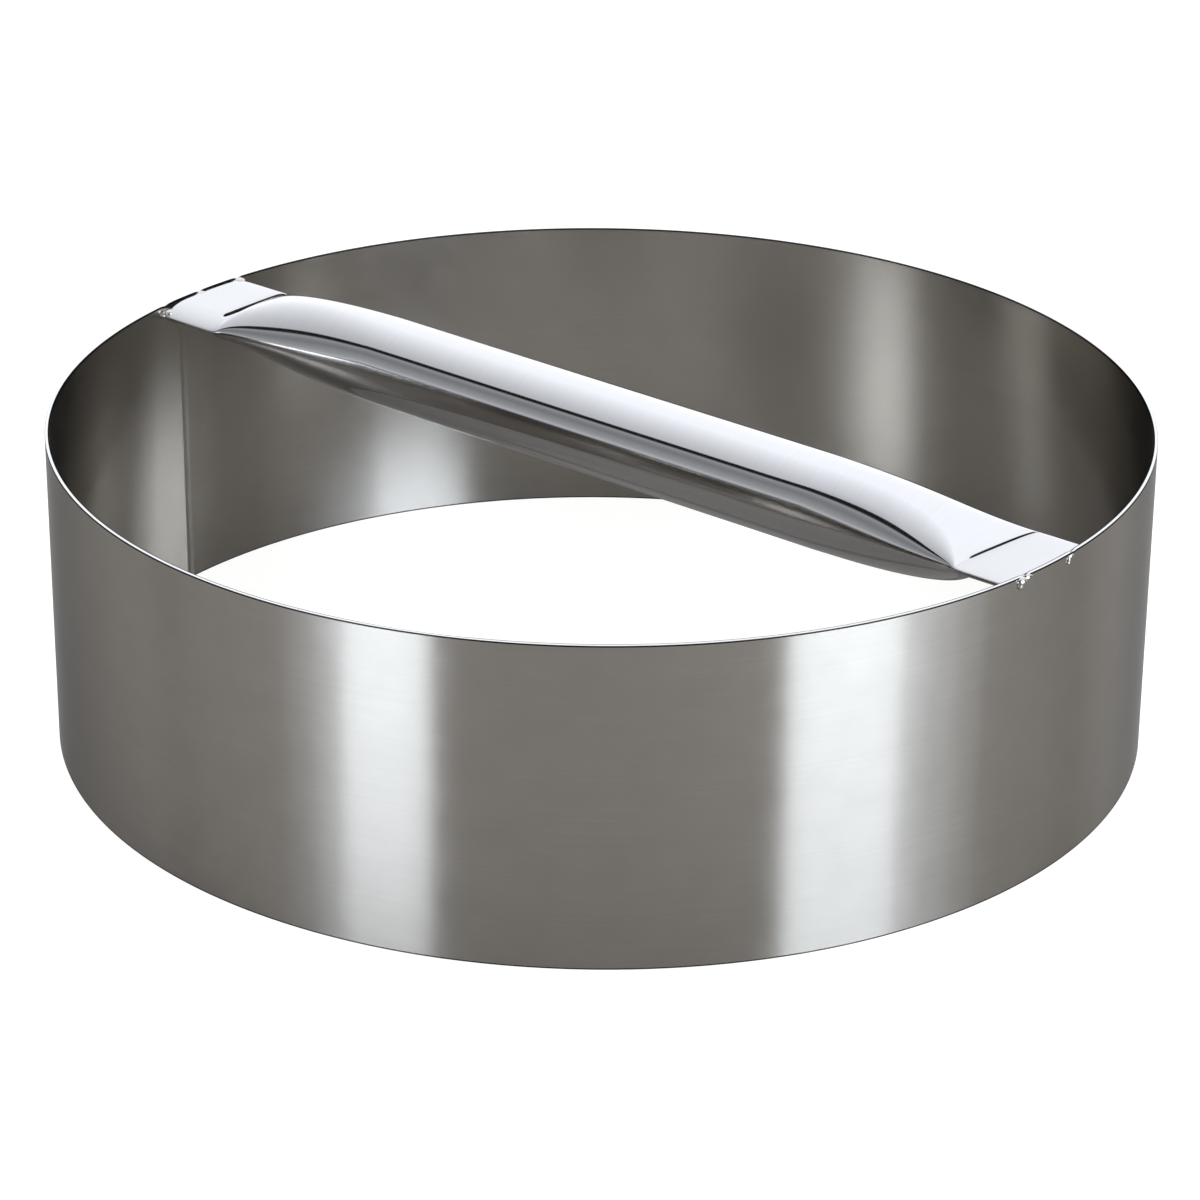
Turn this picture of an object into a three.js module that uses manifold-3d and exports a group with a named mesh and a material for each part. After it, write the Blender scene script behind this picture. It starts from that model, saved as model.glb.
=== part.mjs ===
// A stainless steel dough ring: a rolled band with a tube handle tack-welded across its top.
// Millimetres, +Z up. The origin is the middle of the ring's base, and the handle lies along X.
import * as THREE from 'three';
import { mergeVertices } from 'three/addons/utils/BufferGeometryUtils.js';
import Module from 'manifold-3d';

// Band
const BAND_DIAMETER = 254; // outside
const BAND_HEIGHT = 75;
const BAND_WALL = 1;
const BAND_STEPS = 144;
const SEAM_WIDTH = 2;
const SEAM_INSET = 7.3; // the seam comes up under the left tab, in from the tab's front edge

// Handle tube
const TUBE_DIAMETER = 21.5;
const TUBE_WALL = 0.8;
const TUBE_SIDES = 40;
const HANDLE_OFFSET = -3.6; // the handle was tacked on a little towards -Y
const AXIS_DROP = 2.5; // tube axis below the rim

// Flattened ends of the tube
const TAB_WIDTH = 28.2;
const TAB_LENGTH = 13.8;
const TAB_DROP = 0.3; // tab's top face below the rim
const TAB_SLIT = 0.3; // left between the two pressed walls
const TAB_SQUARENESS = 4.4; // exponent of the tab's superellipse section: 2 is an ellipse
const SHOULDER_LENGTH = 46; // over the top, from the crease to the round tube
const SHOULDER_TURN = 5.5; // a smaller turn makes a blunter shoulder
const BELLY_LENGTH = 40; // the same below
const BELLY_TURN = 3;
const SHOULDER_STEPS = 12;

// Tack welds
const TACK_LENGTH = 3.4; // along the joint
const TACK_BITE = 1.2; // into the tab
const TACK_DEPTH = 2.2;
const TACK_SINK = 0.3; // top of the weld below the rim
const TACK_STEPS = 12;
// Each tack sits in from the front edge (-1) or the back edge (1) of its tab, or in the middle (0),
// and its drop stands out past the band by the overhang.
const TACKS = [
  { name: 'left_front_tack_weld', side: -1, edge: -1, inset: 1.4, overhang: 0.1 },
  { name: 'left_middle_tack_weld', side: -1, edge: 0, inset: 0, overhang: 0.1 },
  { name: 'left_back_tack_weld', side: -1, edge: 1, inset: 1.1, overhang: 0.1 },
  { name: 'right_front_tack_weld', side: 1, edge: -1, inset: 6.2, overhang: 0.9 },
  { name: 'right_back_tack_weld', side: 1, edge: 1, inset: 5.1, overhang: 0.4 },
];

// Clearances
const END_GAP = 0.8; // between a tab's end and the band
const WELD_CLEARANCE = 0.3; // round every weld

// Sizes that follow
const bandOuter = BAND_DIAMETER / 2;
const bandInner = bandOuter - BAND_WALL;
const tubeRadius = TUBE_DIAMETER / 2;
const tabHalf = TUBE_WALL + TAB_SLIT / 2;
const tabEnd = bandInner - END_GAP;
const crease = tabEnd - TAB_LENGTH; // where the tab meets the shoulder
const axisZ = BAND_HEIGHT - AXIS_DROP;
const tabLift = AXIS_DROP - TAB_DROP - tabHalf; // tab's middle plane above the tube axis

// Finishes
const brushedSteel = new THREE.MeshStandardMaterial({ color: 0x8a847d, roughness: 0.35, metalness: 1 });
const polishedSteel = new THREE.MeshStandardMaterial({ color: 0xb9babb, roughness: 0.18, metalness: 1 });
const weldSteel = new THREE.MeshStandardMaterial({ color: 0x9a9893, roughness: 0.45, metalness: 1 });

// Solids for joins and cuts
const wasm = await Module();
wasm.setup();

function toSolid(geometry) {
  const bare = geometry.clone();
  bare.deleteAttribute('normal');
  bare.deleteAttribute('uv');
  const merged = mergeVertices(bare, 1e-4);
  return new wasm.Manifold(
    new wasm.Mesh({
      numProp: 3,
      vertProperties: new Float32Array(merged.attributes.position.array),
      triVerts: new Uint32Array(merged.index.array),
    }),
  );
}

function toGeometry(solid) {
  const { vertProperties, triVerts } = solid.getMesh();
  const geometry = new THREE.BufferGeometry();
  geometry.setAttribute('position', new THREE.BufferAttribute(vertProperties, 3));
  geometry.setIndex(new THREE.BufferAttribute(triVerts, 1));
  geometry.computeVertexNormals();
  return geometry;
}

const part = new THREE.Group();

function addPiece(name, geometry, material) {
  const mesh = new THREE.Mesh(geometry, material);
  mesh.name = name;
  part.add(mesh);
}

// The angle on the band of a place in from an edge of a tab; side is -1 at the left end, 1 at the right.
function angleAt(side, edge, inset) {
  const y = HANDLE_OFFSET + edge * (TAB_WIDTH / 2 - inset);
  const angle = Math.asin(y / bandInner);
  return side > 0 ? angle : Math.PI - angle;
}

// An upright wall that follows the band from one angle to another.
function wallSector(fromAngle, toAngle, steps) {
  const outline = new THREE.Shape();
  outline.absarc(0, 0, bandOuter, fromAngle, toAngle, false);
  outline.absarc(0, 0, bandInner, toAngle, fromAngle, true);
  outline.closePath();
  const options = { depth: BAND_HEIGHT, bevelEnabled: false, curveSegments: steps };
  return new THREE.ExtrudeGeometry(outline, options);
}

// The band stops short of its seam on both sides, and the weld fills the space between.
const seamAngle = angleAt(-1, -1, SEAM_INSET);
const seamHalfAngle = SEAM_WIDTH / 2 / bandInner;
const bandEndAngle = seamHalfAngle + WELD_CLEARANCE / bandInner;
const hoop = wallSector(seamAngle + bandEndAngle, seamAngle + 2 * Math.PI - bandEndAngle, BAND_STEPS);
const seam = wallSector(seamAngle - seamHalfAngle, seamAngle + seamHalfAngle, 2);

// Half-height of the tube at a distance inside the crease.
// It leaves the tab steeply and ends level with the round tube, on a parabola.
function pressedHeight(inside, length, turn) {
  const bend = length - 2 * turn;
  const reached = THREE.MathUtils.clamp(inside, 0, length);
  const share = (Math.sqrt(turn ** 2 + bend * reached) - turn) / bend;
  return THREE.MathUtils.lerp(tubeRadius, tabHalf, (1 - share) ** 2);
}

const signedPower = (value, power) => Math.sign(value) * Math.abs(value) ** power;

// Moves a point of the straight round tube to where it lies once the ends are pressed flat.
function press(point) {
  const inside = crease - Math.abs(point.x);
  const top = pressedHeight(inside, SHOULDER_LENGTH, SHOULDER_TURN);
  const bottom = pressedHeight(inside, BELLY_LENGTH, BELLY_TURN);
  const pressed = (tubeRadius - (top + bottom) / 2) / (tubeRadius - tabHalf);
  const halfWidth = THREE.MathUtils.lerp(tubeRadius, TAB_WIDTH / 2, pressed);
  // The folds along both sides are thinner than the swollen middle.
  const along = THREE.MathUtils.clamp(inside / SHOULDER_LENGTH, 0, 1);
  const fold = THREE.MathUtils.lerp(tabHalf, tubeRadius, along);
  const power = 2 / THREE.MathUtils.lerp(2, TAB_SQUARENESS, pressed ** 2);
  const radius = Math.hypot(point.y, point.z);
  const depth = tubeRadius - radius; // 0 outside, the tube's wall inside
  const rise = signedPower(point.z / radius, power);
  const swell = Math.max(rise > 0 ? top : bottom, fold) - fold;
  point.y = (halfWidth - depth) * signedPower(point.y / radius, power) + HANDLE_OFFSET;
  point.z = axisZ + tabLift * pressed + (fold - depth) * rise + swell * rise * Math.abs(rise);
}

// The tube starts round and straight, and both ends are then pressed flat.
function pressedTube() {
  const end = [bandOuter, crease];
  for (let i = 1; i <= SHOULDER_STEPS; i += 1) {
    end.push(crease - SHOULDER_LENGTH * (i / SHOULDER_STEPS) ** 2);
  }
  const stations = [...end.map((x) => -x), ...end.toReversed()];
  const outside = stations.map((x) => new THREE.Vector2(tubeRadius, x));
  const inside = stations.toReversed().map((x) => new THREE.Vector2(tubeRadius - TUBE_WALL, x));
  const tube = new THREE.LatheGeometry([...outside, ...inside, outside[0]], TUBE_SIDES);
  tube.rotateZ(-Math.PI / 2); // the tube's length now lies along X
  const position = tube.attributes.position;
  const point = new THREE.Vector3();
  for (let i = 0; i < position.count; i += 1) {
    point.fromBufferAttribute(position, i);
    press(point);
    position.setXYZ(i, point.x, point.y, point.z);
  }
  return tube;
}

// Sets a shape of unit size in a joint: as long as the tack, from inside the tab to the overhang.
function placeTack(geometry, tack, clearance) {
  const from = tabEnd - TACK_BITE;
  const to = bandOuter + tack.overhang;
  const middle = (from + to) / 2;
  const angle = angleAt(tack.side, tack.edge, tack.inset);
  const grow = 2 * clearance;
  geometry.scale(to - from + grow, TACK_LENGTH + grow, TACK_DEPTH + grow);
  geometry.rotateZ(angle);
  const z = BAND_HEIGHT - TACK_SINK - TACK_DEPTH / 2;
  geometry.translate(middle * Math.cos(angle), middle * Math.sin(angle), z);
  return geometry;
}

// A drop of weld metal.
function tackDrop(tack) {
  const drop = new THREE.SphereGeometry(0.5, TACK_STEPS, TACK_STEPS / 2);
  drop.rotateX(Math.PI / 2);
  return placeTack(drop, tack, 0);
}

// The pocket that the drop melted into the rim and the tab, open at the top.
function tackPocket(tack) {
  const pocket = new THREE.CapsuleGeometry(0.5, 1, TACK_STEPS / 4, TACK_STEPS, 1);
  pocket.rotateX(Math.PI / 2);
  pocket.translate(0, 0, 0.5);
  return placeTack(pocket, tack, WELD_CLEARANCE);
}

// Both tabs are trimmed to follow the inside of the band.
const trim = new THREE.CylinderGeometry(tabEnd, tabEnd, 2 * BAND_HEIGHT, BAND_STEPS);
trim.rotateX(Math.PI / 2);
trim.translate(0, 0, BAND_HEIGHT);

let bandSolid = toSolid(hoop);
let handleSolid = toSolid(pressedTube()).intersect(toSolid(trim));
for (const tack of TACKS) {
  const pocket = toSolid(tackPocket(tack));
  bandSolid = bandSolid.subtract(pocket);
  handleSolid = handleSolid.subtract(pocket);
}

addPiece('ring_band', toGeometry(bandSolid), brushedSteel);
addPiece('band_seam_weld', seam, brushedSteel);
addPiece('handle_tube', toGeometry(handleSolid), polishedSteel);
for (const tack of TACKS) {
  addPiece(tack.name, tackDrop(tack), weldSteel);
}

export default part;
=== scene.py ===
# %% [markdown]
# A dough ring in stainless steel
#
# A thin hoop of satin sheet is pressed through rolled dough, and a tube across its top is the handle.
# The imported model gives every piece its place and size, so each piece is rebuilt here around that frame:
# finer, with softened edges, and with the finish that the steel has. Lengths are in metres.

# %% The frame
import math
import bmesh
import bpy
from mathutils import Matrix, Vector


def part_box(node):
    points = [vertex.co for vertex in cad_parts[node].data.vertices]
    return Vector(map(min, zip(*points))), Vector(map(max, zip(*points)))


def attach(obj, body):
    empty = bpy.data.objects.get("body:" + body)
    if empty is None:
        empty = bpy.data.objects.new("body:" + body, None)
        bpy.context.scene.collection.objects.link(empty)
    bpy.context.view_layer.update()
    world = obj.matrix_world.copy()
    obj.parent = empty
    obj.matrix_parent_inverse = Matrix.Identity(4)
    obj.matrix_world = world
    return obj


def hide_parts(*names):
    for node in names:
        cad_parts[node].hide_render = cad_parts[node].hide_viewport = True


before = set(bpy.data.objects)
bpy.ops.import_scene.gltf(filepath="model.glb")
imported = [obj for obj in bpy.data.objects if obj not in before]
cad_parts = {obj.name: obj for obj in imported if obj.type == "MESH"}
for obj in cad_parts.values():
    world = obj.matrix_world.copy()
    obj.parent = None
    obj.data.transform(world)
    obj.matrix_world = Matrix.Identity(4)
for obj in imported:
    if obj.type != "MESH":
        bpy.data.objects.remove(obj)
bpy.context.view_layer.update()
MM = 0.001
print("nodes:", ", ".join(sorted(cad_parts)))

# %% [markdown]
# The camera
#
# The rim and the base are ellipses in the photograph, and one perspective camera explains both of them.
# It is a long lens a metre away that looks down on the ring, turned a hair off level.

# %% Camera
CAMERA_AZIMUTH = math.radians(39.74)
CAMERA_ELEVATION = math.radians(23.92)
CAMERA_PITCH = math.radians(24.44)
CAMERA_ROLL = math.radians(0.475)
CAMERA_DISTANCE = 992.9 * MM
AIM_HEIGHT = 37.44 * MM
LENS_MM = 127.67


def around(azimuth, elevation, distance):
    """A point round the ring: azimuth 0 is towards -Y, and 90 degrees is towards +X."""
    level = distance * math.cos(elevation)
    return Vector((level * math.sin(azimuth), -level * math.cos(azimuth), distance * math.sin(elevation)))


camera = bpy.data.objects.new("camera", bpy.data.cameras.new("camera"))
bpy.context.scene.collection.objects.link(camera)
bpy.context.scene.camera = camera
camera.data.lens = LENS_MM
camera.location = around(CAMERA_AZIMUTH, CAMERA_ELEVATION, CAMERA_DISTANCE) + Vector((0, 0, AIM_HEIGHT))
camera.rotation_euler = (
    Matrix.Rotation(CAMERA_AZIMUTH, 3, "Z")
    @ Matrix.Rotation(math.pi / 2 - CAMERA_PITCH, 3, "X")
    @ Matrix.Rotation(CAMERA_ROLL, 3, "Z")
).to_euler()
print("camera at", [round(c, 3) for c in camera.location])

# %% [markdown]
# Finishing a piece
#
# Every piece ends the same way. Its faces are turned outwards and shaded smooth, edges that fold by more
# than a few degrees stay crisp, and the object rides on the one rigid body and stands for its CAD node.

# %% Finish a piece
CRISP_ANGLE = math.radians(12)


def finish_piece(bm, name, replaced, materials):
    bmesh.ops.recalc_face_normals(bm, faces=bm.faces)
    for face in bm.faces:
        face.smooth = True
    for edge in bm.edges:
        edge.smooth = edge.calc_face_angle(math.pi) < CRISP_ANGLE
    mesh = bpy.data.meshes.new(name)
    bm.to_mesh(mesh)
    bm.free()
    piece = bpy.data.objects.new(name, mesh)
    bpy.context.scene.collection.objects.link(piece)
    for material in materials:
        mesh.materials.append(material)
    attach(piece, "root")
    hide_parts(*replaced)
    print(name, len(mesh.polygons), "faces")
    return piece


# %% [markdown]
# Building materials
#
# A small function adds a shader node with its settings and its inputs. An input is either a plain value
# or the output of another node, which is then linked. Colours are written as sRGB hex values.

# %% Nodes and colours
def add_node(tree, kind, inputs=None, **settings):
    made = tree.nodes.new(kind)
    for name, value in settings.items():
        setattr(made, name, value)
    for name, value in (inputs or {}).items():
        if isinstance(value, bpy.types.NodeSocket):
            tree.links.new(value, made.inputs[name])
        else:
            made.inputs[name].default_value = value
    return made


def colour(hex_value):
    """The linear RGBA of an sRGB hex value."""
    shares = [int(hex_value[i:i + 2], 16) / 255 for i in (0, 2, 4)]
    linear = [c / 12.92 if c <= 0.04045 else ((c + 0.055) / 1.055) ** 2.4 for c in shares]
    return (*linear, 1.0)


def new_material(name):
    material = bpy.data.materials.new(name)
    material.use_nodes = True
    material.node_tree.nodes.clear()
    return material, material.node_tree


# %% [markdown]
# Cold-rolled stainless sheet
#
# The band is cold-rolled stainless sheet with a satin mill finish. The rolls left microscopic lines along
# the strip, which now run round the hoop, so they smear reflections up and down more than sideways: a
# lamp becomes an upright band of light. Bump could draw each line, but the real ones are too fine for
# that. So the anisotropic part of the shader does it, with the tangent running round Z and turned by a
# quarter. Only a faint cloudiness and a trace of the rolling lines show in the tone itself.

# %% Satin sheet
ROLLING_PITCH = 0.5 * MM  # the real lines are finer, and this is as coarse as they need to show
ROLLING_LENGTH = 60 * MM
CLOUD_SIZE = 9 * MM
CLOUD_TONE = 0.04  # more and less
CLOUD_ROUGHNESS = 0.012
SHEET_SHEEN = "bcbcbc"  # at a low angle
SMEAR = 0.45
QUARTER_TURN = 0.25


def satin_sheet(name, steel, roughness):
    material, tree = new_material(name)
    place = add_node(tree, "ShaderNodeTexCoord").outputs["Object"]
    along = 1 / ROLLING_LENGTH
    across = 1 / ROLLING_PITCH
    stretched = add_node(tree, "ShaderNodeMapping", {"Vector": place, "Scale": (along, along, across)})
    lines = add_node(
        tree, "ShaderNodeTexNoise",
        {"Vector": stretched.outputs["Vector"], "Scale": 1.0, "Detail": 3.0, "Roughness": 0.6},
    )
    clouds = add_node(
        tree, "ShaderNodeTexNoise",
        {"Vector": place, "Scale": 1 / CLOUD_SIZE, "Detail": 4.0, "Roughness": 0.6},
    )
    worn = add_node(
        tree, "ShaderNodeMath",
        {0: lines.outputs["Fac"], 1: clouds.outputs["Fac"]}, operation="MULTIPLY",
    )
    rough = add_node(
        tree, "ShaderNodeMapRange",
        {"Value": clouds.outputs["Fac"], "From Min": 0.3, "From Max": 0.7,
         "To Min": roughness - CLOUD_ROUGHNESS, "To Max": roughness + CLOUD_ROUGHNESS},
    )
    tone = add_node(
        tree, "ShaderNodeMapRange",
        {"Value": worn.outputs["Value"], "From Min": 0.1, "From Max": 0.4,
         "To Min": 1 - CLOUD_TONE, "To Max": 1 + CLOUD_TONE},
    )
    tinted = add_node(
        tree, "ShaderNodeMix", {6: colour(steel), 7: tone.outputs["Result"], 0: 1.0},
        data_type="RGBA", blend_type="MULTIPLY",
    )
    bump = add_node(
        tree, "ShaderNodeBump",
        {"Height": lines.outputs["Fac"], "Strength": 0.01, "Distance": 0.02 * MM},
    )
    tangent = add_node(tree, "ShaderNodeTangent", direction_type="RADIAL", axis="Z")
    shader = add_node(
        tree, "ShaderNodeBsdfPrincipled",
        {"Base Color": tinted.outputs[2], "Metallic": 1.0, "Roughness": rough.outputs["Result"],
         "Specular Tint": colour(SHEET_SHEEN), "Anisotropic": SMEAR, "Anisotropic Rotation": QUARTER_TURN,
         "Normal": bump.outputs["Normal"], "Tangent": tangent.outputs["Tangent"]},
    )
    add_node(tree, "ShaderNodeOutputMaterial", {"Surface": shader.outputs["BSDF"]})
    return material


# A warm grey that is soft all over, with upright bands where it meets a lamp.
sheet_steel = satin_sheet("cold_rolled_stainless_sheet", "cbc6bf", 0.185)
print("made", sheet_steel.name)

# %% [markdown]
# Bright steel
#
# The tube was polished as it turned, so faint lines run round it and reflections stay sharp along them.
# Pressing dulled the tabs at its ends. The sheared edges of the sheet come in two zones: shears first cut
# a bright, smooth strip and then tear the rest, and what they tore or drew down stays dull. Its near-black
# tone is painted shade: the dark lines that outline the rim, and the dark line in the handle's creases. The
# tack welds are drops of the same steel that froze as they were. All of these differ only in tone,
# roughness and how much of the lines is left, so one function makes them.

# %% Bright steel
POLISH_PITCH = 0.8 * MM  # as coarse as the lines need to show
POLISH_LENGTH = 30 * MM
POLISH_TONE = 0.015  # more and less
POLISH_SPREAD = 0.25  # of the roughness


def bright_steel(name, steel, roughness, lines, sheen="ffffff"):
    """Steel with polishing lines. Its sheen is the tint that it takes at a low angle."""
    material, tree = new_material(name)
    place = add_node(tree, "ShaderNodeTexCoord").outputs["Object"]
    around_it = 1 / POLISH_LENGTH
    along_it = 1 / POLISH_PITCH
    stretched = add_node(
        tree, "ShaderNodeMapping", {"Vector": place, "Scale": (along_it, around_it, around_it)},
    )
    polish = add_node(
        tree, "ShaderNodeTexNoise",
        {"Vector": stretched.outputs["Vector"], "Scale": 1.0, "Detail": 3.0, "Roughness": 0.6},
    )
    rough = add_node(
        tree, "ShaderNodeMapRange",
        {"Value": polish.outputs["Fac"], "From Min": 0.3, "From Max": 0.7,
         "To Min": roughness * (1 - POLISH_SPREAD), "To Max": roughness * (1 + POLISH_SPREAD)},
    )
    tone = add_node(
        tree, "ShaderNodeMapRange",
        {"Value": polish.outputs["Fac"], "From Min": 0.3, "From Max": 0.7,
         "To Min": 1 - POLISH_TONE, "To Max": 1 + POLISH_TONE},
    )
    tinted = add_node(
        tree, "ShaderNodeMix", {6: colour(steel), 7: tone.outputs["Result"], 0: 1.0},
        data_type="RGBA", blend_type="MULTIPLY",
    )
    bump = add_node(
        tree, "ShaderNodeBump", {"Height": polish.outputs["Fac"], "Strength": lines, "Distance": 0.02 * MM},
    )
    shader = add_node(
        tree, "ShaderNodeBsdfPrincipled",
        {"Base Color": tinted.outputs[2], "Metallic": 1.0, "Roughness": rough.outputs["Result"],
         "Specular Tint": colour(sheen), "Normal": bump.outputs["Normal"]},
    )
    add_node(tree, "ShaderNodeOutputMaterial", {"Surface": shader.outputs["BSDF"]})
    return material


# Nearly a mirror, with long clean lines.
tube_steel = bright_steel("polished_stainless_tube", "c6c5c5", 0.06, 0.004)
# Less sharp, so that a tab is an even pale grey.
tab_steel = bright_steel("pressed_stainless_tab", "bcbbba", 0.14, 0.02)
# A thin white line along the rim.
cut_steel = bright_steel("sheared_stainless_edge", "c9c8c6", 0.09, 0.02)
# Painted shade: dark lines beside the white one along the rim, and a dark line in the handle's creases.
# Along the rim it is also the dull torn zone of the shear.
torn_edge_and_shade_steel = bright_steel("torn_edge_and_painted_shade", "2e2d2a", 0.42, 0.3, sheen="000000")
# Small bright drops with a soft skin.
weld_steel = bright_steel("tack_weld_steel", "bcb8b2", 0.24, 0.1)
for made in (tube_steel, tab_steel, cut_steel, torn_edge_and_shade_steel, weld_steel):
    print("made", made.name)

# %% [markdown]
# The band
#
# The strip is one millimetre thick, and its section is a tall, thin rectangle. Spun round Z it becomes
# the hoop. The spin goes in sectors, in fine steps where the handle's welds dimple the rim and in wider
# ones elsewhere, and it stops at the seam. The four long corners are then bevelled, because sheared sheet
# is never quite sharp. A loop beside each corner bounds the strip where the shears drew the skin of the
# sheet down, which is dull. The strip is painted near black as well, painted shade that draws dark lines
# along the rim and at the foot of the wall. Another loop keeps the shading of the tall wall flat.

# %% Sizes of the band
BAND_WALL = 1 * MM
EDGE_ROUNDING = 0.15 * MM
# Painted shade: these strips are near black. They are partly the torn zone of the shear and partly dark
# lines of shade along the rim and the foot.
TORN_AND_SHADE_WIDTH = 0.15 * MM  # on the flat of an edge, along the inside
DULL_AND_SHADE_HEIGHT = 0.35 * MM
GUARD = 1 * MM
band_low, band_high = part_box("ring_band")
band_outer = (band_high.y - band_low.y) / 2
band_inner = band_outer - BAND_WALL
rim = band_high.z
seam_low, seam_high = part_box("band_seam_weld")
seam_middle = (seam_low + seam_high) / 2
seam_angle = math.atan2(seam_middle.y, seam_middle.x) % (2 * math.pi)
seam_half = (seam_high.y - seam_low.y) / 2 / band_outer
print("band", round(band_outer / MM, 2), "mm radius,", round(rim / MM, 2), "mm tall")

# %% Spin a rolled wall
ROUNDING_STEPS = 4
CORNER_ANGLE = 1.0  # radians
SAME_PLACE = 1e-6
torn_and_shade_edge = band_inner + EDGE_ROUNDING + TORN_AND_SHADE_WIDTH


def rolled_wall(sectors):
    """A stretch of the hoop's wall: a first angle, then (angle, step) sectors, with its corners rounded."""
    bm = bmesh.new()
    inside = [(band_inner, GUARD), (band_inner, DULL_AND_SHADE_HEIGHT), (band_inner, 0), (torn_and_shade_edge, 0)]
    section = inside + [(band_outer, 0), (band_outer, DULL_AND_SHADE_HEIGHT), (band_outer, GUARD)]
    section += [(radius, rim - z) for radius, z in reversed(section)]
    verts = [bm.verts.new((x, 0, z)) for x, z in section]
    loop = [bm.edges.new((verts[i - 1], verts[i])) for i in range(len(verts))]
    bmesh.ops.contextual_create(bm, geom=loop)
    bmesh.ops.rotate(bm, verts=verts, matrix=Matrix.Rotation(sectors[0], 3, "Z"))
    last = verts + loop
    for angle, step in sectors[1:]:
        steps = max(1, round(angle / step))
        spun = bmesh.ops.spin(bm, geom=last, axis=(0, 0, 1), angle=angle, steps=steps)
        last = [part for part in spun["geom_last"] if not isinstance(part, bmesh.types.BMFace)]
    bmesh.ops.contextual_create(bm, geom=[part for part in last if isinstance(part, bmesh.types.BMEdge)])
    long_corners = [
        edge for edge in bm.edges
        if len(edge.link_faces) == 2
        and edge.calc_face_angle() > CORNER_ANGLE
        and abs(edge.verts[0].co.z - edge.verts[1].co.z) < SAME_PLACE
        and abs(edge.verts[0].co.xy.length - edge.verts[1].co.xy.length) < SAME_PLACE
    ]
    bmesh.ops.bevel(
        bm, geom=long_corners, offset=EDGE_ROUNDING, offset_type="OFFSET", segments=ROUNDING_STEPS,
        profile=0.5, affect="EDGES", material=-1,
    )
    return bm


# %% [markdown]
# Rolling and welding left two marks on the hoop. The ends of a rolled strip stay a little straight, so the
# hoop comes to a slight peak at the seam, which shows inside as a step in the tone. And each tack weld
# melted a notch into the rim.

# %% Marks of rolling and welding
TACKS = [name for name in sorted(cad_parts) if name.endswith("tack_weld")]
tack_middles = {name: sum(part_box(name), Vector()) / 2 for name in TACKS}
NOTCH_DEPTH = 0.55 * MM
NOTCH_REACH = 1.7 * MM
NOTCH_TAPER = 1.3
PEAK_HEIGHT = 0.12 * MM
PEAK_REACH = 8 * MM
peak_angle = seam_angle + seam_half
FLAT_LIMIT = 0.9  # a face that looks up or down more than this is on the flat of an edge
steels = [sheet_steel, cut_steel, torn_edge_and_shade_steel]
SATIN, CUT, TORN_AND_SHADE = range(len(steels))


def notch_at(co):
    """How far the rim has sunk at a point."""
    sunk = 0.0
    for middle in tack_middles.values():
        away = (co.xy - middle.xy).length
        sunk = max(sunk, NOTCH_DEPTH * max(0, 1 - away / NOTCH_REACH) ** NOTCH_TAPER)
    return sunk


def mark_wall(bm):
    """Gives the wall's faces their steel, then the wall its peak at the seam and its notches."""
    bm.normal_update()
    for face in bm.faces:
        middle = face.calc_center_median()
        # Faces on the torn zone and on the strips beside the corners get the near-black steel, which is
        # painted shade along the rim and the foot.
        if abs(face.normal.z) > FLAT_LIMIT:
            face.material_index = TORN_AND_SHADE if middle.xy.length < torn_and_shade_edge else CUT
        else:
            face.material_index = TORN_AND_SHADE if min(middle.z, rim - middle.z) < DULL_AND_SHADE_HEIGHT else SATIN
    for vert in bm.verts:
        turn = math.atan2(vert.co.y, vert.co.x) % (2 * math.pi) - peak_angle
        peak = PEAK_HEIGHT * max(0, 1 - abs(turn) * band_outer / PEAK_REACH) ** 2
        if vert.co.z > rim / 2:
            vert.co.z -= notch_at(vert.co)
        vert.co.xy *= 1 + peak / band_outer


# %% Roll the band
FINE_STEP = math.radians(0.15)
WIDE_STEP = math.radians(0.75)
WELD_REACH = math.radians(11)
band_start = seam_angle + seam_half
right_start = 2 * math.pi - WELD_REACH
left_end = math.pi + WELD_REACH
sectors = [
    band_start,
    (left_end - band_start, FINE_STEP),
    (right_start - left_end, WIDE_STEP),
    (2 * WELD_REACH, FINE_STEP),
    (math.pi - 2 * WELD_REACH, WIDE_STEP),
    (band_start - 2 * seam_half - math.pi + WELD_REACH, FINE_STEP),
]
bm = rolled_wall(sectors)
mark_wall(bm)
finish_piece(bm, "band", ["ring_band"], steels)

# %% [markdown]
# The seam
#
# The two ends of the strip meet under the far end of the handle, and a butt weld joins them. It was ground
# flush, so it is a narrow strip of the same wall with a crown that the fingers would hardly find.

# %% Seam weld
SEAM_CROWN = 0.015 * MM
SEAM_STEPS = 8
bm = rolled_wall([band_start - 2 * seam_half, (2 * seam_half, 2 * seam_half / SEAM_STEPS)])
mark_wall(bm)
for vert in bm.verts:
    turn = math.atan2(vert.co.y, vert.co.x) % (2 * math.pi) - seam_angle
    crown = SEAM_CROWN * (1 - (turn / seam_half) ** 2)
    outwards = 1 if vert.co.xy.length > (band_inner + band_outer) / 2 else -1
    vert.co.xy += vert.co.xy.normalized() * crown * outwards
finish_piece(bm, "seam_weld", ["band_seam_weld"], steels)

# %% [markdown]
# The handle
#
# It starts as a straight round tube, and both ends are pressed flat. A ring of vertices is extruded from
# station to station along X, with the stations close together round the crease, where the flat tab turns
# up into the round tube. Each vertex is then moved to where pressing carried it: over the crease the height
# grows on a parabola, the width spreads as the height shrinks, and the section goes from a circle to a
# rounded oblong. The two ends were not made quite alike: the handle was welded in nearer its right end,
# its right crease runs a little askew, and the front edge of its left tab is bent down.

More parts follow.
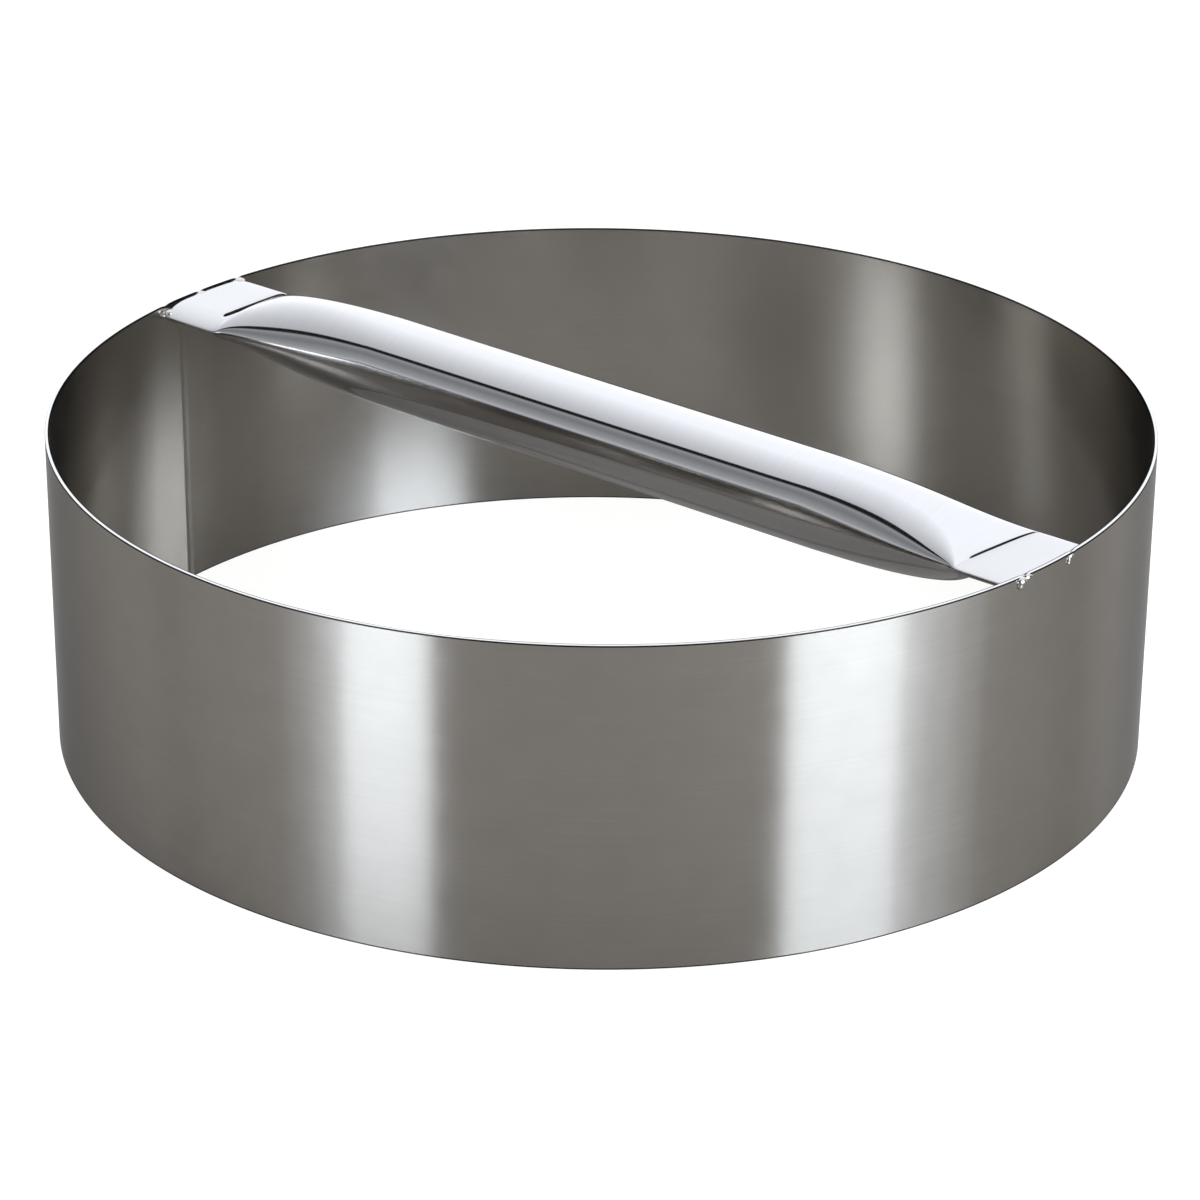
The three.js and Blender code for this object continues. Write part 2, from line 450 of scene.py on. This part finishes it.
# %% Sizes of the handle
TUBE_WALL = 0.8 * MM
TAB_LENGTH = 13.8 * MM
TAB_DROP = 0.3 * MM
TAB_HALF = 0.95 * MM
TAB_SQUARENESS = 4.4
SHOULDER_LENGTH = 46 * MM
SHOULDER_TURN = 5.5 * MM
BELLY_LENGTH = 40 * MM
BELLY_TURN = 3 * MM
CREASE_ROUNDING = 0.7 * MM
LEFT_SHIFT = 4.0 * MM
RIGHT_SHIFT = 1.9 * MM
RIGHT_SKEW = 0.11
SKEW_FADE = 12  # a larger power dies away sooner along the handle
TAB_SAG = 1.6 * MM
SAG_START = -10 * MM
SAG_REACH = 7.7 * MM
SAG_FADE = 6
BUTT_GAP = 0.15 * MM  # the near tab was pushed home against the band
TUBE_SIDES = 160
handle_low, handle_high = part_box("handle_tube")
tube_radius = (handle_high.z - handle_low.z) / 2
tab_half_width = (handle_high.y - handle_low.y) / 2
tab_end = handle_high.x
crease = tab_end - TAB_LENGTH
axis_y = (handle_high.y + handle_low.y) / 2
axis_z = (handle_high.z + handle_low.z) / 2
tab_lift = rim - TAB_DROP - TAB_HALF - axis_z
print("tube", round(2 * tube_radius / MM, 2), "mm across")
print("tab", round(2 * tab_half_width / MM, 2), "mm wide")


# %% Press the tube's ends
def blend(a, b, share):
    return a + (b - a) * share


def pressed_height(inside, length, turn):
    """Half-height of the tube at a distance inside the crease."""
    bend = length - 2 * turn
    reached = min(max(inside, 0), length)
    share = (math.sqrt(turn ** 2 + bend * reached) - turn) / bend
    return blend(tube_radius, TAB_HALF, (1 - share) ** 2)


def signed_power(value, power):
    return math.copysign(abs(value) ** power, value)


# %% The groove along a crease
GROOVE_EASE = 2.0 * MM  # over which a groove runs out at its ends
# The press bit in here. Each groove has its place inside the crease, its width and depth, and its run
# from front to back. Its bottom is painted dark, as painted shade in the crease.
LEFT_GROOVE = {
    "place": -1.95 * MM, "width": 0.65 * MM, "depth": 0.45 * MM, "front": -12.5 * MM, "back": 10.5 * MM,
}
RIGHT_GROOVE = {
    "place": 0.0, "width": 0.17 * MM, "depth": 0.2 * MM, "front": -13.5 * MM, "back": 10.3 * MM,
}
DARK_SHARE = 0.4  # the groove is dark where it is deeper than this share


def groove_at(groove, y, flat):
    """The share of its full depth that a groove has at a distance inside the crease."""
    share = min(y - groove["front"], groove["back"] - y) / GROOVE_EASE
    away = (flat - groove["place"]) / groove["width"]
    return min(max(share, 0), 1) * math.exp(-away ** 2)


def press(co):
    """Moves a point of the straight tube to its place on the pressed one."""
    flat = crease - abs(co.x)
    inside = (flat + math.hypot(flat, CREASE_ROUNDING)) / 2
    top = pressed_height(inside, SHOULDER_LENGTH, SHOULDER_TURN)
    bottom = pressed_height(inside, BELLY_LENGTH, BELLY_TURN)
    pressed = (tube_radius - (top + bottom) / 2) / (tube_radius - TAB_HALF)
    half_width = blend(tube_radius, tab_half_width, pressed)
    fold = blend(TAB_HALF, tube_radius, min(max(inside / SHOULDER_LENGTH, 0), 1))
    power = 2 / blend(2, TAB_SQUARENESS, pressed ** 2)
    radius = math.hypot(co.y, co.z)
    depth = tube_radius - radius
    rise = signed_power(co.z / radius, power)
    swell = max(top if rise > 0 else bottom, fold) - fold
    co.y = (half_width - depth) * signed_power(co.y / radius, power) + axis_y
    co.z = axis_z + tab_lift * pressed + (fold - depth) * rise + swell * rise * abs(rise)
    if rise > 0 and depth < TUBE_WALL / 2:
        groove = RIGHT_GROOVE if co.x > 0 else LEFT_GROOVE
        co.z -= groove["depth"] * groove_at(groove, co.y, flat) * rise
    settle(co, flat)


def settle(co, flat):
    """Bends the front of the left tab down, and moves a pressed point along to where it was welded in."""
    share = min(max((co.x / crease + 1) / 2, 0), 1)
    sag = max(0, (SAG_START - co.y) / SAG_REACH) ** 2
    co.z -= TAB_SAG * sag * (1 - share) ** SAG_FADE
    side = math.copysign(1, co.x)
    askew = RIGHT_SKEW * (co.y - axis_y) * share ** SKEW_FADE
    shift = blend(LEFT_SHIFT, RIGHT_SHIFT, share) + askew
    if flat < 0:
        end = band_inner - BUTT_GAP if side > 0 else tab_end
        reach = math.sqrt(end ** 2 - co.y ** 2)
        co.x = blend(side * crease + shift, side * reach, -flat / TAB_LENGTH)
    else:
        co.x += shift


# %% Extrude the tube
TAB_STEPS = 10
CREASE_STEPS = 60
CREASE_REACH = 3 * MM
SHOULDER_STEPS = 40
SHOULDER_SPACING = 1.5
STRAIGHT_STEPS = 6


def spaced(start, stop, steps, power=1.0):
    """Places from start up to, but not at, stop: closer together near start for a power over 1."""
    return [blend(start, stop, (i / steps) ** power) for i in range(steps)]


half_stations = (
    spaced(tab_end, crease + CREASE_REACH, TAB_STEPS)
    + spaced(crease + CREASE_REACH, crease - CREASE_REACH, CREASE_STEPS)
    + spaced(crease - CREASE_REACH, crease - SHOULDER_LENGTH, SHOULDER_STEPS, SHOULDER_SPACING)
    + spaced(crease - SHOULDER_LENGTH, 0, STRAIGHT_STEPS)
)
stations = half_stations + [0.0] + [-x for x in reversed(half_stations)]


def extruded_tube(bm, radius):
    """A round skin along X through the stations. Returns its two end loops."""
    circle = bmesh.ops.create_circle(bm, segments=TUBE_SIDES, radius=radius)["verts"]
    upright = Matrix.Translation((stations[0], 0, 0)) @ Matrix.Rotation(math.pi / 2, 4, "Y")
    bmesh.ops.transform(bm, matrix=upright, verts=circle)
    loop = list({edge for vert in circle for edge in vert.link_edges})
    first = loop
    for before, after in zip(stations, stations[1:]):
        grown = bmesh.ops.extrude_edge_only(bm, edges=loop)["geom"]
        moved = [part for part in grown if isinstance(part, bmesh.types.BMVert)]
        loop = [part for part in grown if isinstance(part, bmesh.types.BMEdge)]
        bmesh.ops.translate(bm, vec=(after - before, 0, 0), verts=moved)
    return first, loop


# %% Press it and give its faces their steel
tube_steels = [tube_steel, tab_steel, torn_edge_and_shade_steel]
POLISHED, PRESSED, PAINTED_CREASE_SHADE = range(len(tube_steels))
bm = bmesh.new()
outside_ends = extruded_tube(bm, tube_radius)
inside_ends = extruded_tube(bm, tube_radius - TUBE_WALL)
for outside_end, inside_end in zip(outside_ends, inside_ends):
    bmesh.ops.bridge_loops(bm, edges=outside_end + inside_end)
for face in bm.faces:
    middle = face.calc_center_median()
    flat = crease - abs(middle.x)
    groove = RIGHT_GROOVE if middle.x > 0 else LEFT_GROOVE
    on_top = middle.z > 0
    press(middle)
    # A face deep in a groove gets the near-black steel, which is painted shade that draws a dark line along
    # the crease.
    dark = on_top and groove_at(groove, middle.y, flat) > DARK_SHARE
    if dark:
        face.material_index = PAINTED_CREASE_SHADE
    else:
        face.material_index = PRESSED if flat < 0 else POLISHED
for vert in bm.verts:
    press(vert.co)
finish_piece(bm, "handle", ["handle_tube"], tube_steels)

# %% [markdown]
# The tack welds
#
# Each tack is metal that melted between the end of a tab and the band, and froze as a few drops run
# together. Scaled spheres stand for the drops, a voxel remesh melts them into one skin, and smoothing
# rounds the joins. Metaballs would do it too, but are harder to keep to a size. A drop is given by its
# place along the joint, its distance from the middle of the ring and its height, and by its size along
# the joint, across it and upwards, all in millimetres.

# %% Tack welds
MELT_VOXEL = 0.09 * MM
MELT_SMOOTHING = 6
DROPS = {
    "left_front_tack_weld": [
        ((-15.9, 125.4, 73.2), (1.7, 1.5, 0.8)),
        ((-17.6, 125.75, 72.6), (0.42, 0.42, 0.42)),
        ((-16.7, 125.7, 72.7), (0.36, 0.36, 0.36)),
        ((-16.4, 125.7, 73.0), (0.4, 0.45, 0.5)),
    ],
    "left_middle_tack_weld": [((-3.6, 125.5, 74.0), (1.7, 1.5, 0.95))],
    "left_back_tack_weld": [((9.4, 125.5, 74.0), (1.7, 1.5, 0.95))],
    "right_front_tack_weld": [
        ((-11.6, 125.6, 73.8), (1.6, 1.3, 0.9)),
        ((-13.3, 126.9, 74.0), (1.5, 1.2, 1.0)),
        ((-13.5, 127.2, 73.2), (1.2, 0.7, 1.1)),
        ((-10.9, 126.8, 74.2), (1.3, 0.7, 0.7)),
    ],
    "right_back_tack_weld": [
        ((5.4, 125.6, 73.8), (1.5, 1.3, 0.9)),
        ((4.3, 126.8, 74.1), (0.9, 0.6, 0.55)),
        ((3.4, 127.05, 73.5), (0.5, 0.4, 0.6)),
        ((3.2, 127.1, 72.9), (0.4, 0.35, 0.45)),
    ],
}
for name in TACKS:
    side = math.copysign(1, tack_middles[name].x)
    bm = bmesh.new()
    for (y, radius, z), sizes in DROPS[name]:
        angle = math.asin(y / radius)
        angle = angle if side > 0 else math.pi - angle
        along, across, upwards = sizes
        drop = bmesh.ops.create_icosphere(bm, subdivisions=3, radius=1)["verts"]
        bmesh.ops.scale(bm, vec=Vector((across, along, upwards)) * MM, verts=drop)
        bmesh.ops.rotate(bm, matrix=Matrix.Rotation(angle, 3, "Z"), verts=drop)
        place = Vector((radius * math.cos(angle), radius * math.sin(angle), z)) * MM
        bmesh.ops.translate(bm, vec=place, verts=drop)
    tack = finish_piece(bm, name.replace("tack_weld", "tack"), [name], [weld_steel])
    melt = tack.modifiers.new("melt", "REMESH")
    melt.mode = "VOXEL"
    melt.voxel_size = MELT_VOXEL
    melt.use_smooth_shade = True
    soften = tack.modifiers.new("soften", "SMOOTH")
    soften.iterations = MELT_SMOOTHING

# %% [markdown]
# The studio
#
# The floor is a white gloss sheet, as product tables often are. Its gloss matters more than it seems: the
# upright wall of the ring looks down into the floor, and sees the lamps there. The white itself is a glow.
# The camera sees all of it. The steel sees a trace of it, because a satin wall that mirrored a white floor
# would be white too, and the real one is grey. The matte part under the glow keeps the ring's shadow.

# %% Floor
FLOOR_SIZE = 60.0
FLOOR_WHITE = 0.9
FLOOR_IN_STEEL = 0.05
FLOOR_TONE = "77726c"  # of the matte part
FLOOR_ROUGHNESS = 0.1
floor_material, tree = new_material("white_gloss_floor")
path = add_node(tree, "ShaderNodeLightPath")
mirrored = add_node(
    tree, "ShaderNodeMath",
    {0: path.outputs["Is Glossy Ray"], 1: path.outputs["Is Transmission Ray"]}, operation="MAXIMUM",
)
in_steel = add_node(
    tree, "ShaderNodeMath", {0: mirrored.outputs["Value"], 1: FLOOR_IN_STEEL}, operation="MULTIPLY",
)
white = add_node(
    tree, "ShaderNodeMath",
    {0: path.outputs["Is Camera Ray"], 1: FLOOR_WHITE, 2: in_steel.outputs["Value"]},
    operation="MULTIPLY_ADD",
)
sheet = add_node(
    tree, "ShaderNodeBsdfPrincipled",
    {"Base Color": colour(FLOOR_TONE), "Roughness": FLOOR_ROUGHNESS, "Emission Color": (1, 1, 1, 1),
     "Emission Strength": white.outputs["Value"]},
)
add_node(tree, "ShaderNodeOutputMaterial", {"Surface": sheet.outputs["BSDF"]})
bm = bmesh.new()
bmesh.ops.create_grid(bm, x_segments=1, y_segments=1, size=FLOOR_SIZE / 2)
floor_mesh = bpy.data.meshes.new("floor")
bm.to_mesh(floor_mesh)
bm.free()
floor_mesh.materials.append(floor_material)
floor = bpy.data.objects.new("floor", floor_mesh)
bpy.context.scene.collection.objects.link(floor)
print("floor", FLOOR_SIZE, "m square")

# %% [markdown]
# Two soft boxes stand either side of the camera. Each makes one of the upright bands of light on the
# satin wall, and the width of the band is the width of the lamp. Light spills past the outer side of each
# box, which gives its band a softer outer edge. Narrow, weaker lamps beside the box stand for that.

# %% Soft boxes
LAMP_TINT = "e7f2ff"
LAMP_DISTANCE = 0.6
LAMP_RADIANCE = 12.5
RIGHT_SPAN = (0.05, 0.6)  # lowest and highest of a lamp
LEFT_SPAN = (0.05, 0.27)


def soft_box(name, azimuth, width, span, share):
    """An upright lamp that faces the ring. Its azimuth is counted from the camera's."""
    low, high = span
    data = bpy.data.lights.new(name, "AREA")
    data.shape = "RECTANGLE"
    data.size = width
    data.size_y = high - low
    data.energy = LAMP_RADIANCE * share * width * (high - low) * math.pi
    data.color = colour(LAMP_TINT)[:3]
    lamp = bpy.data.objects.new(name, data)
    place = around(CAMERA_AZIMUTH + math.radians(azimuth), 0, LAMP_DISTANCE)
    lamp.location = place + Vector((0, 0, (low + high) / 2))
    lamp.rotation_euler = place.to_track_quat("Z", "Y").to_euler()
    bpy.context.scene.collection.objects.link(lamp)
    print(name, [round(c, 2) for c in lamp.location])


soft_box("right_soft_box", 45.5, 0.244, RIGHT_SPAN, 1)
soft_box("right_spill_1", 60, 0.063, RIGHT_SPAN, 0.4)
soft_box("right_spill_2", 66, 0.063, RIGHT_SPAN, 0.24)
soft_box("right_spill_3", 72, 0.063, RIGHT_SPAN, 0.12)
soft_box("left_soft_box", -38.9, 0.181, LEFT_SPAN, 1)
soft_box("left_spill_1", -50.3, 0.058, LEFT_SPAN, 0.3)
soft_box("left_spill_2", -55.8, 0.058, LEFT_SPAN, 0.1)

# %% [markdown]
# The rest of the studio is in the world's light. A white sweep rises behind the ring and overhead. It is
# darker to the left, and fades towards the camera, where the room is dim. Below it a low dark wall stands
# all round, except behind the ring, where the sweep comes down to the floor. On the left a panel runs away
# to the back. It is grey with a dark top edge, and the round tube mirrors it as long lines. Planes round
# the ring could do the same, but in the world they cast no shadows and never get into a picture.

# %% Axes of the studio
world = bpy.data.worlds.new("studio")
world.use_nodes = True
tree = world.node_tree
tree.nodes.clear()
direction = add_node(tree, "ShaderNodeTexCoord").outputs["Generated"]
turned = add_node(tree, "ShaderNodeMapping", {"Vector": direction, "Rotation": (0, 0, -CAMERA_AZIMUTH)})
axes = add_node(tree, "ShaderNodeSeparateXYZ", {"Vector": turned.outputs["Vector"]})
to_right, to_back, up = axes.outputs["X"], axes.outputs["Y"], axes.outputs["Z"]

# %% The sweep
SWEEP_TONE = 1.76
LEFT_TONE = 0.56
FRONT_TONE = 0.2
darkening = add_node(
    tree, "ShaderNodeMapRange",
    {"Value": to_right, "From Min": -1.0, "From Max": -0.21, "To Min": LEFT_TONE, "To Max": SWEEP_TONE},
)
fading = add_node(
    tree, "ShaderNodeMapRange",
    {"Value": to_back, "From Min": -0.45, "From Max": 0.3, "To Min": FRONT_TONE, "To Max": SWEEP_TONE},
    interpolation_type="SMOOTHSTEP",
)
sweep = add_node(
    tree, "ShaderNodeMath",
    {0: darkening.outputs["Result"], 1: fading.outputs["Result"]}, operation="MINIMUM",
)

# %% The low wall
WALL_HEIGHT = 0.53  # as the sine of its height in degrees
WALL_TONE = 0.06
SIDE_SHARE = 0.3  # the opening behind grows wider to the sides
low = add_node(tree, "ShaderNodeMath", {0: up, 1: WALL_HEIGHT}, operation="LESS_THAN")
aside = add_node(tree, "ShaderNodeMath", {0: to_right}, operation="ABSOLUTE")
behind = add_node(
    tree, "ShaderNodeMath",
    {0: aside.outputs["Value"], 1: SIDE_SHARE, 2: to_back}, operation="MULTIPLY_ADD",
)
closed = add_node(
    tree, "ShaderNodeMapRange",
    {"Value": behind.outputs["Value"], "From Min": 0.6, "From Max": 0.85, "To Min": 1.0, "To Max": 0.0},
    interpolation_type="SMOOTHSTEP",
)
walled = add_node(
    tree, "ShaderNodeMath", {0: low.outputs["Value"], 1: closed.outputs["Result"]}, operation="MULTIPLY",
)
walls = add_node(
    tree, "ShaderNodeMix", {0: walled.outputs["Value"], 2: sweep.outputs["Value"], 3: WALL_TONE},
)

# %% The panel on the left
PANEL_ACROSS = (-0.538, -0.843, 0.0)  # square to the panel, which runs away to the back
PANEL_TOP = 52  # degrees, as seen from the ring
# Tones at heights in degrees. The last two are the dark top edge.
PANEL_TONES = [(2, 0.5), (5, 0.8), (12, 0.55), (30, 0.33), (36, 0.38), (42, 0.52), (45, 0.02), (52, 0.02)]
across = add_node(
    tree, "ShaderNodeVectorMath", {0: turned.outputs["Vector"], 1: PANEL_ACROSS}, operation="DOT_PRODUCT",
)
climb = add_node(tree, "ShaderNodeMath", {0: up, 1: across.outputs["Value"]}, operation="ARCTAN2")
degrees = add_node(tree, "ShaderNodeMath", {0: climb.outputs["Value"]}, operation="DEGREES")
share = add_node(tree, "ShaderNodeMath", {0: degrees.outputs["Value"], 1: PANEL_TOP}, operation="DIVIDE")
panel = add_node(tree, "ShaderNodeValToRGB", {"Fac": share.outputs["Value"]})
ramp = panel.color_ramp
while len(ramp.elements) > 1:
    ramp.elements.remove(ramp.elements[-1])
for angle, radiance in PANEL_TONES:
    stop = ramp.elements.new(angle / PANEL_TOP)
    stop.color = (radiance, radiance, radiance, 1)
below = add_node(tree, "ShaderNodeMath", {0: degrees.outputs["Value"], 1: PANEL_TOP}, operation="LESS_THAN")
left_side = add_node(
    tree, "ShaderNodeMix",
    {0: below.outputs["Value"], 2: sweep.outputs["Value"], 3: panel.outputs["Color"]},
)

# %% Join the studio
ROOM_TINT = "f4f8ff"  # a little cool
leftness = add_node(
    tree, "ShaderNodeMapRange",
    {"Value": to_right, "From Min": -0.35, "From Max": -0.55, "To Min": 0.0, "To Max": 1.0},
    interpolation_type="SMOOTHSTEP",
)
room = add_node(
    tree, "ShaderNodeMix",
    {0: leftness.outputs["Result"], 2: walls.outputs[0], 3: left_side.outputs[0]},
)
glow = add_node(
    tree, "ShaderNodeBackground", {"Color": colour(ROOM_TINT), "Strength": room.outputs[0]},
)
add_node(tree, "ShaderNodeOutputWorld", {"Surface": glow.outputs["Background"]})
bpy.context.scene.world = world
print("studio", len(tree.nodes), "nodes")
bpy.context.scene.view_settings.view_transform = "Standard"
